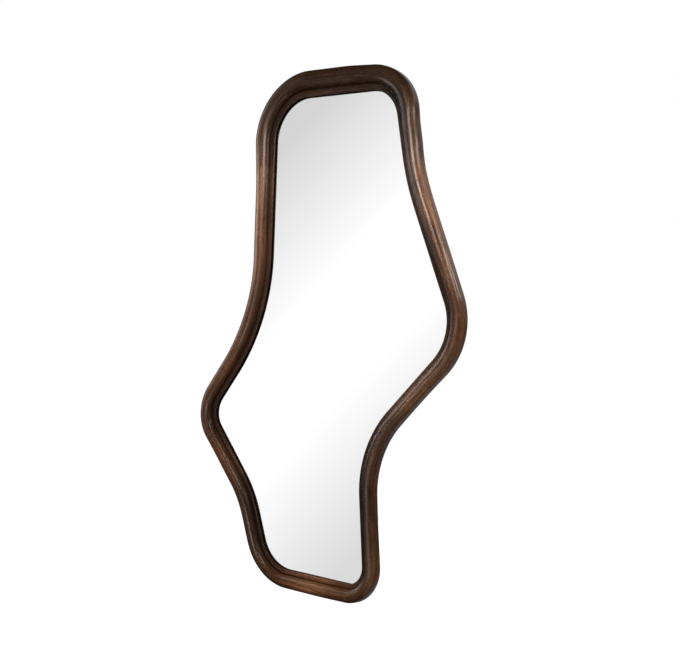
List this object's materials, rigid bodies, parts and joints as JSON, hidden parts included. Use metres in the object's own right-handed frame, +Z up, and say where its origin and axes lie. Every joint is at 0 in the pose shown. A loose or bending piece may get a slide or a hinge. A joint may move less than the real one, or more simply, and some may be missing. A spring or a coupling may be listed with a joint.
{
  "type": "wall mirror",
  "caption": "Tall wall mirror with an asymmetric wavy outline, in a rounded dark wood frame with a grooved inner lip, a screwed backing board and swinging hanger rings.",
  "frame": {"origin": "on the wall plane, at the middle of the width and height of the outline", "axes": "+Z up the mirror, +X to the viewer's right, +Y back into the wall; the glass faces -Y"},
  "size_m": [0.771, 0.0343, 1.2115],
  "materials": {
    "walnut_wood": "dark walnut stain under satin lacquer",
    "mirror": "silvered float glass",
    "hardboard": "smooth brown hardboard",
    "dowel_wood": "plain beech",
    "glazing_tape": "black foam tape",
    "foam": "soft grey foam",
    "block_rubber": "firm black rubber",
    "zinc_steel": "bright zinc plate",
    "bumper_rubber": "soft dark rubber"
  },
  "bodies": {
    "frame": {"backing_board": "hardboard", "backing_screws": "zinc_steel", "foam_spacers": "foam", "frame_bottom_left": "walnut_wood", "frame_bottom_right": "walnut_wood", "frame_left_bulge": "walnut_wood", "frame_left_lower": "walnut_wood", "frame_left_waist": "walnut_wood", "frame_right_bulge": "walnut_wood", "frame_right_lower": "walnut_wood", "frame_right_waist": "walnut_wood", "frame_top_left": "walnut_wood", "frame_top_right": "walnut_wood", "glass_setting_blocks": "block_rubber", "glazing_tape": "glazing_tape", "hanger_screws_left": "zinc_steel", "hanger_screws_right": "zinc_steel", "hanger_strap_left": "zinc_steel", "hanger_strap_right": "zinc_steel", "joint_dowels": "dowel_wood", "mirror_glass": "mirror", "wall_bumper_bottom_left": "bumper_rubber", "wall_bumper_bottom_right": "bumper_rubber", "wall_bumper_top_left": "bumper_rubber", "wall_bumper_top_right": "bumper_rubber"},
    "ring_left": {"hanger_ring_left": "zinc_steel"},
    "ring_right": {"hanger_ring_right": "zinc_steel"}
  },
  "joints": [
    {"name": "ring_left_swing", "type": "hinge", "parent": "frame", "child": "ring_left", "pos_m": [-0.18363, -0.00435, 0.275], "axis": [0.9991, 0, -0.0432], "range_deg": [0, 180]},
    {"name": "ring_right_swing", "type": "hinge", "parent": "frame", "child": "ring_right", "pos_m": [0.28097, -0.00435, 0.275], "axis": [0.9592, 0, 0.2828], "range_deg": [0, 180]}
  ]
}
